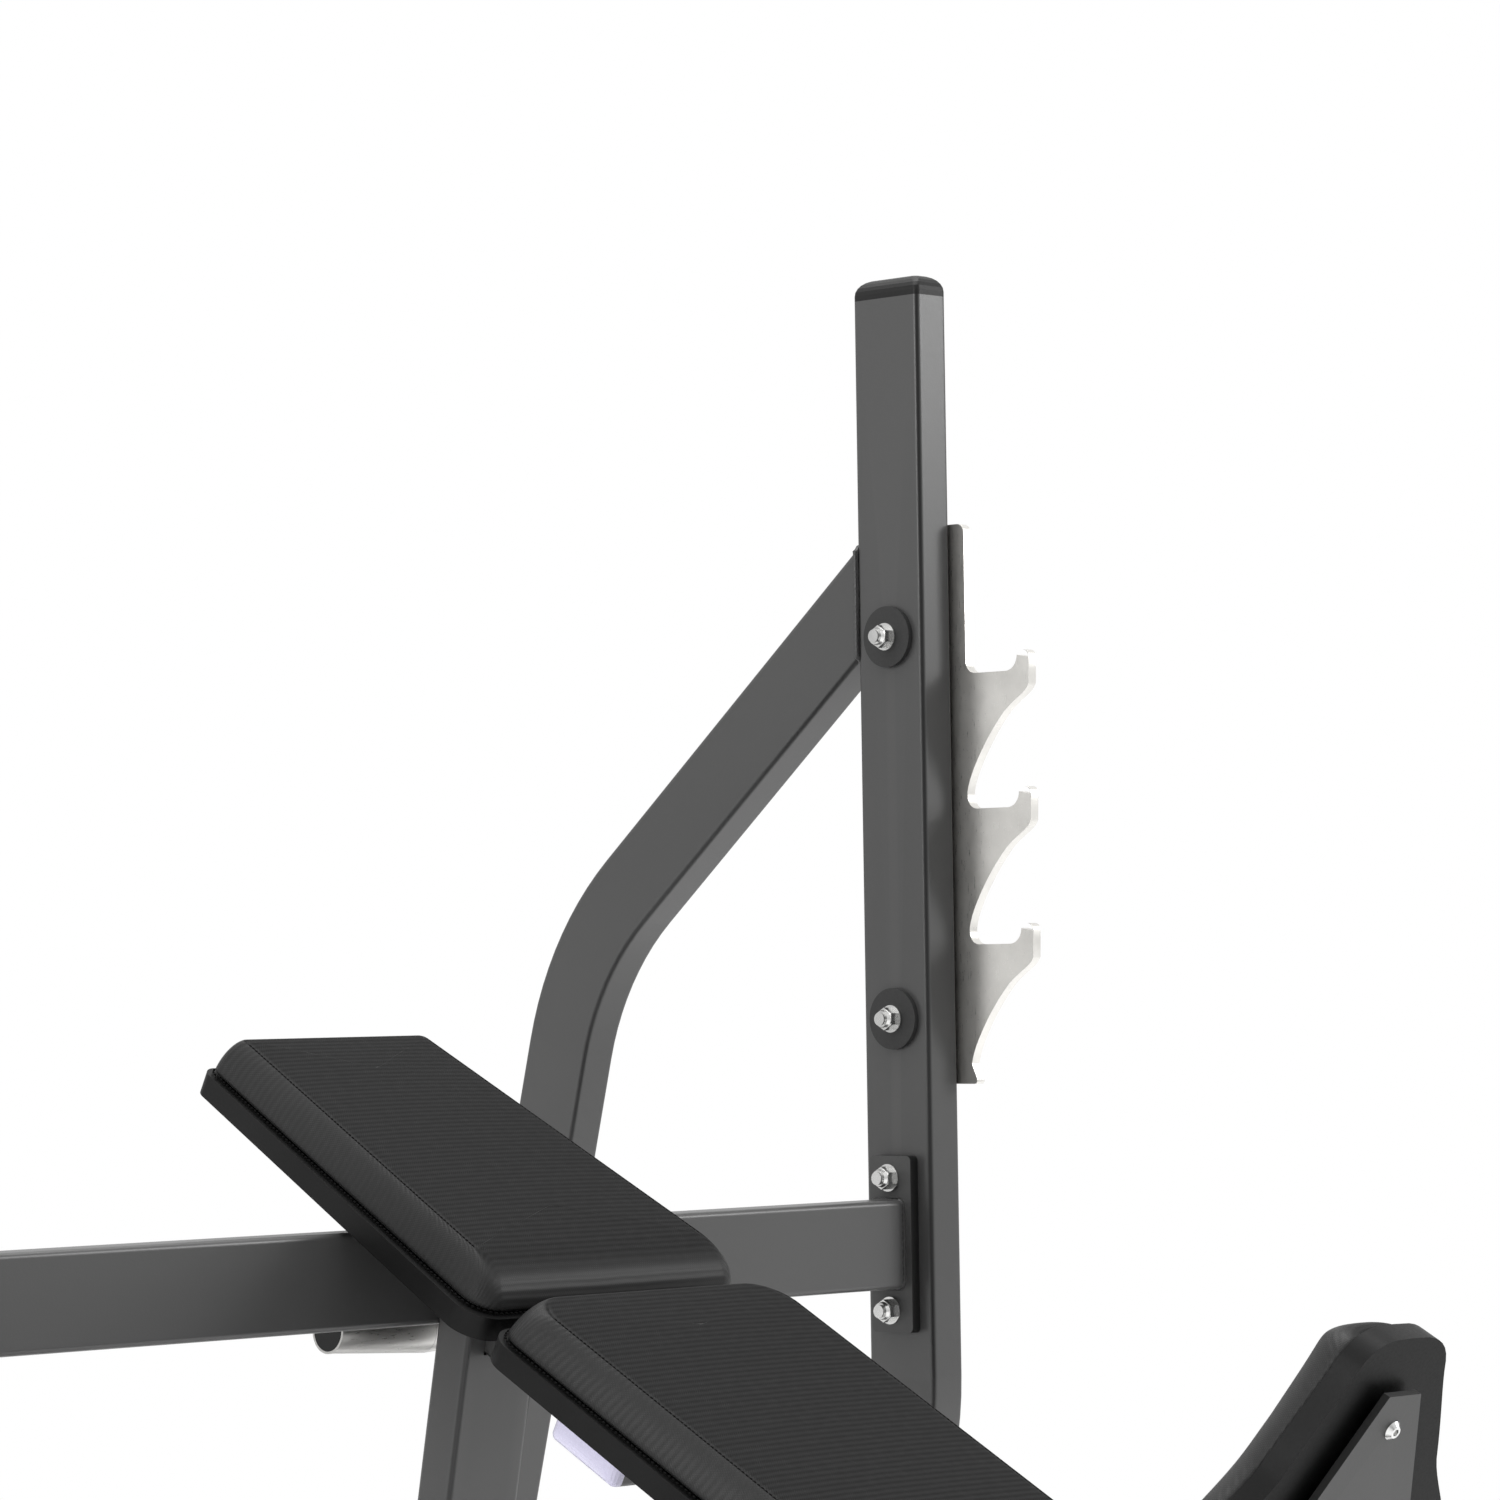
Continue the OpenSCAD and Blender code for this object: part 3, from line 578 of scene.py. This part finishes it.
def capsule_row(name, points, normals, pitch, length, radius, body):
    """Short stitches laid along a line of points, all in one mesh."""
    pts = np.array(points)
    seg = np.linalg.norm(np.diff(pts, axis=0), axis=1)
    run = np.concatenate([[0], np.cumsum(seg)])
    bm = bmesh.new()
    count = int(run[-1] / pitch)
    for k in range(count):
        d = (k + 0.5) * pitch
        i = min(int(np.searchsorted(run, d)) - 1, len(seg) - 1)
        i = max(i, 0)
        f = (d - run[i]) / max(seg[i], 1e-9)
        at = pts[i] * (1 - f) + pts[i + 1] * f
        way = pts[i + 1] - pts[i]
        way = Vector(way / max(np.linalg.norm(way), 1e-9))
        out = Vector(normals[i]).normalized()
        side = way.cross(out).normalized()
        turn = Matrix((way, side, way.cross(side))).transposed().to_4x4()
        shape = Matrix.Diagonal((length / 2, radius, radius, 1.0))
        place = Matrix.Translation(Vector(at)) @ turn @ shape @ Matrix.Rotation(math.pi / 2, 4, "Y")
        bmesh.ops.create_uvsphere(bm, u_segments=8, v_segments=6, radius=1.0, matrix=place)
    mesh = bpy.data.meshes.new(name)
    bm.to_mesh(mesh)
    bm.free()
    for poly in mesh.polygons:
        poly.use_smooth = True
    obj = bpy.data.objects.new(name, mesh)
    bpy.context.scene.collection.objects.link(obj)
    mesh.materials.append(thread)
    mesh.transform(to_slope)
    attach(obj, body)


FOOT_ROW = dict(pitch=0.0050, length=0.0036, radius=0.0010)


def seam_stitches(prefix, rings):
    """Stitches along both long top seams, and along the foot of the cushion all round."""
    for sign, word in ((1, "right"), (-1, "left")):
        line = [p for p in rings[SEAM_RING + 1] if p[3] * sign > 0.92]
        line.sort(key=lambda p: p[1])
        capsule_row(
            f"{prefix}_seam_{word}",
            [(p[0] * MM, p[1] * MM, (p[2] + 0.2) * MM) for p in line],
            [(sign * 0.6, 0, 0.8)] * len(line),
            pitch=0.0046, length=0.0036, radius=0.0011, body="frame",
        )
    loop = list(rings[0]) + [rings[0][0]]
    capsule_row(
        f"{prefix}_foot_stitches",
        [((p[0] + p[3] * 0.3) * MM, (p[1] + p[4] * 0.3) * MM, -33.8 * MM) for p in loop],
        [(p[3], p[4], 0.2) for p in loop],
        body="frame", **FOOT_ROW,
    )


seam_stitches("head_pad", head_rings)
seam_stitches("back_pad", back_rings)

# ---- seat ----


def curve(p0, p1, p2, p3, n):
    """A cubic curve from p0 to p3, without its first point."""
    out = []
    for i in range(1, n + 1):
        t = i / n
        u = 1 - t
        share = (u**3, 3 * u * u * t, 3 * u * t * t, t**3)
        out.append(tuple(sum(w * p[k] for w, p in zip(share, (p0, p1, p2, p3))) for k in (0, 1)))
    return out


def seat_outline(n):
    """The seat's outline, counter-clockwise, as evenly spaced (x, height, nx, nz)."""
    side = [(0, NOSE), (18, NOSE - 0.5)]
    side += curve((18, NOSE - 0.5), (32, NOSE - 2), (44, NOSE - 8), (50, NOSE - 22), 12)
    side += curve((50, NOSE - 22), (58, NOSE - 44), (72, NOSE - 66), (89, NOSE - 106), 16)
    side += curve((89, NOSE - 106), (103, NOSE - 134), (150, NOSE - 170), (163, NOSE - 232), 24)
    side += curve((163, NOSE - 232), (169, NOSE - 262), (168, NOSE - 292), (158, NOSE - 314), 16)
    for a in range(-10, -91, -8):
        side.append((122 + 33 * math.cos(math.radians(a)), 45 + 33 * math.sin(math.radians(a))))
    side += [(60, 12), (0, 12)]
    loop = side + [(-x, z) for x, z in side[-2:0:-1]]
    pts = np.array(loop + [loop[0]], float)
    run = np.concatenate([[0], np.cumsum(np.linalg.norm(np.diff(pts, axis=0), axis=1))])
    d = np.linspace(0, run[-1], n, endpoint=False)
    even = np.stack([np.interp(d, run, pts[:, k]) for k in (0, 1)], 1)
    for _ in range(6):
        even = 0.5 * even + 0.25 * (np.roll(even, 1, 0) + np.roll(even, -1, 0))
    way = np.roll(even, -1, 0) - np.roll(even, 1, 0)
    way /= np.linalg.norm(way, axis=1)[:, None]
    normal = np.stack([-way[:, 1], way[:, 0]], 1)
    if np.sum(normal * (even - even.mean(0))) < 0:
        normal = -normal
    for _ in range(10):
        normal = 0.5 * normal + 0.25 * (np.roll(normal, 1, 0) + np.roll(normal, -1, 0))
    normal /= np.linalg.norm(normal, axis=1)[:, None]
    return np.column_stack([even, normal])


def make_seat():
    """The seat's cushion, rolled in at its edge, in its own frame: x, height, and outward."""
    n = 260
    edge = seat_outline(n)
    rings = []
    for t in (0.0, 0.12, 0.26, 0.40, 0.54, 0.68, 0.80, 0.90, 0.96, 1.0):
        a = t * math.pi / 2
        h = math.sin(a)
        roll_in = 24 * (0.55 * h**2 + 0.45 * (1 - math.cos(a)))
        inset = 6 + roll_in * (1 - 0.35 * np.clip((edge[:, 1] - 270) / 70, 0, 1))
        outline = edge[:, :2] - edge[:, 2:] * inset[:, None]
        rings.append(np.column_stack([outline, np.full(n, -CUSHION + 34.0 * h), edge[:, 2:]]))
    top = rings[-1]
    for inward, lift in ((1.6, -0.6), (3.6, 0.6), (9.0, 1.4)):
        q = top.copy()
        q[:, 0] -= q[:, 3] * inward
        q[:, 1] -= q[:, 4] * inward
        q[:, 2] += lift
        rings.append(q)

    def medial(x, z):
        return (0.0, min(max(z, 95.0), 290.0))

    obj = stack("seat_cover", rings, medial, 14, 0.8)
    held = [i for i, v in enumerate(obj.data.vertices) if v.co.z < FOOT_BAND]
    held += [(SEAM_RING + 3) * n + i for i in range(n)]
    puff(obj, held, 0.0040)
    close_up(obj)
    return obj, rings


# the seat's own frame is the slope's frame turned so that the cushion faces up the slope
swap = Matrix(((1, 0, 0, 0), (0, 0, 1, 0), (0, 1, 0, 0), (0, 0, 0, 1)))
seat_turn = Matrix.Translation((0, -SEAT_AT * MM, 0)) @ swap
seat, seat_rings = make_seat()
seat.data.transform(seat_turn)
seat.data.flip_normals()
finish_pad(seat, "seat_cushion", "seat")


def seat_row(name, ring, z, lift, **stitch):
    """Stitches round a ring of the seat's cushion, at a height z and pushed out by lift."""
    loop = list(ring) + [ring[0]]
    pts, out = [], []
    for x, up_seat, _, nx, ns in loop:
        at = Vector((x + nx * lift, up_seat + ns * lift, z)) * MM
        pts.append(tuple(seat_turn @ at))
        out.append(tuple(seat_turn.to_3x3() @ Vector((nx, ns, 0.4))))
    capsule_row(name, pts, out, body="seat", **stitch)


groove = seat_rings[SEAM_RING + 1]
seat_row("seat_seam", groove, groove[0, 2] + 0.3, 0.0, pitch=0.0046, length=0.0036, radius=0.0010)
seat_row("seat_foot_stitches", seat_rings[0], -33.8, 0.3, pitch=0.0050, length=0.0036, radius=0.0008)

# ---- weld beads ----


def weld(name, loop, radius=0.0028, body="frame", closed=True):
    """A rippled bead along a line of points in the row's frame."""
    pts = [Vector(p) for p in loop]
    if closed:
        pts.append(pts[0])
    fine = []
    for a, b in zip(pts, pts[1:]):
        steps = max(1, int((b - a).length / 0.0016))
        fine += [a.lerp(b, i / steps) for i in range(steps)]
    if not closed:
        fine.append(pts[-1])
    n, m = len(fine), 8
    verts, faces = [], []
    for i, p in enumerate(fine):
        nxt = fine[(i + 1) % n] if closed or i < n - 1 else p + (p - fine[i - 1])
        prv = fine[i - 1] if closed or i > 0 else p - (nxt - p)
        way = (nxt - prv).normalized()
        side = way.cross(Vector((0.31, 0.52, 0.79))).normalized()
        other = way.cross(side)
        ripple = 0.14 * math.sin(i * 2 * math.pi / 3.3) + 0.08 * math.sin(i * 0.61)
        r = radius * (1 + ripple)
        for k in range(m):
            a = 2 * math.pi * k / m
            verts.append(p + side * (r * math.cos(a)) + other * (r * math.sin(a)))
    last = n if closed else n - 1
    for i in range(last):
        for k in range(m):
            a, b = i * m + k, i * m + (k + 1) % m
            c, d = ((i + 1) % n) * m + (k + 1) % m, ((i + 1) % n) * m + k
            faces.append((a, b, c, d))
    mesh = bpy.data.meshes.new(name)
    mesh.from_pydata(verts, [], faces)
    for poly in mesh.polygons:
        poly.use_smooth = True
    mesh.materials.append(paint)
    obj = bpy.data.objects.new(name, mesh)
    bpy.context.scene.collection.objects.link(obj)
    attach(obj, body)


def box_loop(x0, x1, y0, y1, z, r=0.004):
    """A level rectangle with cut corners, in metres."""
    low, high = (x0 + r, x1 - r), (y0 + r, y1 - r)
    xy = [(low[0], y0), (low[1], y0), (x1, high[0]), (x1, high[1])]
    xy += [(low[1], y1), (low[0], y1), (x0, high[1]), (x0, high[0])]
    return [(x, y, z) for x, y in xy]


FOOT_WELD = BASE_TOP + 0.0005
for sign, word in ((1, "right"), (-1, "left")):
    x0, x1 = sorted((sign * UPRIGHT_IN, sign * UPRIGHT_OUT))
    weld(f"weld_upright_foot_{word}", box_loop(x0, x1, 0.1784, 0.2600, FOOT_WELD))
    weld(f"weld_brace_foot_{word}", box_loop(x0, x1, 0.7441, 0.8268, FOOT_WELD))
    y = 0.1605  # just behind the upright's rear face
    weld(
        f"weld_brace_top_{word}",
        [(x0 + 0.004, y, 1.2330), (x1 - 0.004, y, 1.2330), (x1, y, 1.2370), (x1, y, 1.3320),
         (x1 - 0.004, y, 1.3360), (x0 + 0.004, y, 1.3360), (x0, y, 1.3320), (x0, y, 1.2370)],
    )
    x = sign * (UPRIGHT_IN - 0.0105)  # on the flange's inner face
    weld(
        f"weld_flange_{word}",
        [(x, 0.1098, 0.6605), (x, 0.1398, 0.6605), (x, 0.1442, 0.6650), (x, 0.1442, 0.7350),
         (x, 0.1398, 0.7395), (x, 0.1098, 0.7395), (x, 0.1054, 0.7350), (x, 0.1054, 0.6650)],
        0.0022,
    )
    x = sign * 0.5255
    bar_end = [(x, 0.184, BASE_TOP), (x, 0.256, BASE_TOP)]
    weld(f"weld_floor_bar_{word}", bar_end, 0.0024, closed=False)
weld("weld_leg_foot", box_loop(-0.040, 0.040, 0.1812, 0.2220, FOOT_WELD))
weld("weld_post_foot", box_loop(-0.040, 0.040, -0.8300, -0.7900, FOOT_WELD))
spine_end = [(-0.036, 0.1795, BASE_TOP), (0.036, 0.1795, BASE_TOP)]
weld("weld_spine_rear", spine_end, 0.0024, closed=False)

# ---- stage and light ----

scene = bpy.context.scene
scene.view_settings.view_transform = "Standard"
scene.view_settings.look = "None"
scene.view_settings.exposure = 0.0
scene.view_settings.gamma = 1.0

floor_mesh = bpy.data.meshes.new("floor")
bm = bmesh.new()
bmesh.ops.create_circle(bm, cap_ends=True, segments=96, radius=16.0)
bm.to_mesh(floor_mesh)
bm.free()
floor = bpy.data.objects.new("floor", floor_mesh)
scene.collection.objects.link(floor)
floor.location.z = -0.0005
fm = Nodes("floor")
pos = fm.place()
reach = fm.add("ShaderNodeVectorMath", {0: pos}, operation="LENGTH").outputs["Value"]
fade = fm.ramp(reach, 1.6, 4.2, 0.0, 1.0)
fm.set(Base_Color=(0.86, 0.86, 0.86, 1.0), Roughness=0.9)
glow = fm.add("ShaderNodeEmission", {"Color": (1, 1, 1, 1), "Strength": 1.0})
blend = fm.add("ShaderNodeMixShader", {0: fade})
fm.t.links.new(fm.bsdf.outputs[0], blend.inputs[1])
fm.t.links.new(glow.outputs[0], blend.inputs[2])
fm.t.links.new(blend.outputs[0], fm.t.nodes["Material Output"].inputs["Surface"])
floor_mesh.materials.append(fm.mat)

world = bpy.data.worlds.new("studio")
scene.world = world
world.use_nodes = True
wt = world.node_tree
wt.nodes.clear()
coord = wt.nodes.new("ShaderNodeTexCoord")


def wadd(kind, op=None, **inputs):
    """Adds a world node; an input called i0, i1 and so on is given by number."""
    n = wt.nodes.new(kind)
    if op:
        n.operation = op
    for k, v in inputs.items():
        key = int(k[1:]) if k[0] == "i" and k[1:].isdigit() else k
        if isinstance(v, bpy.types.NodeSocket):
            wt.links.new(v, n.inputs[key])
        else:
            n.inputs[key].default_value = v
    return n


def lobe(direction, start, end):
    """1 near a direction, falling to 0; start and end are cosines."""
    d = Vector(direction).normalized()
    dot = wadd("ShaderNodeVectorMath", "DOT_PRODUCT", i0=coord.outputs["Generated"], i1=tuple(d))
    n = wadd("ShaderNodeMapRange", i0=dot.outputs["Value"], i1=start, i2=end, i3=0.0, i4=1.0)
    n.interpolation_type = "SMOOTHSTEP"
    return n.outputs[0]


def wmath(op, a, b):
    return wadd("ShaderNodeMath", op, i0=a, i1=b).outputs[0]


# the room is paler towards the ceiling, and has a dark wall beyond the seat end's left corner
sep = wadd("ShaderNodeSeparateXYZ", i0=coord.outputs["Generated"])
height = wadd("ShaderNodeMapRange", i0=sep.outputs[2], i1=-0.2, i2=0.9, i3=0.55, i4=1.15)
dark_wall = wmath("MULTIPLY", lobe((-0.714, -0.698, 0.05), 0.72, 0.97), 0.72)
light_level = wmath("MULTIPLY", height.outputs[0], wmath("SUBTRACT", 1.0, dark_wall))
seen = wt.nodes.new("ShaderNodeLightPath").outputs["Is Camera Ray"]
shown = wadd("ShaderNodeBackground", Color=(1, 1, 1, 1), Strength=1.0)
lit = wadd("ShaderNodeBackground", Color=(1, 1, 1, 1), Strength=light_level)
mixer = wadd("ShaderNodeMixShader", i0=seen, i1=lit.outputs[0], i2=shown.outputs[0])
out = wt.nodes.new("ShaderNodeOutputWorld")
wt.links.new(mixer.outputs[0], out.inputs[0])


def softbox(name, place, target, size, power):
    """A rectangular light that faces a point and isn't seen itself."""
    data = bpy.data.lights.new(name, "AREA")
    data.shape = "RECTANGLE"
    data.size, data.size_y = size
    data.energy = power
    o = bpy.data.objects.new(name, data)
    scene.collection.objects.link(o)
    o.location = place
    o.rotation_euler = (Vector(target) - Vector(place)).to_track_quat("-Z", "Y").to_euler()
    o.visible_camera = False


softbox("key", (3.2, -3.0, 2.6), (0.0, 0.0, 0.8), (1.6, 1.6), 70)
softbox("left", (-3.4, 0.6, 1.9), (0.2, 0.1, 0.9), (1.4, 2.4), 50)
softbox("top", (0.2, 0.4, 3.6), (0.0, 0.1, 0.7), (2.6, 2.0), 60)
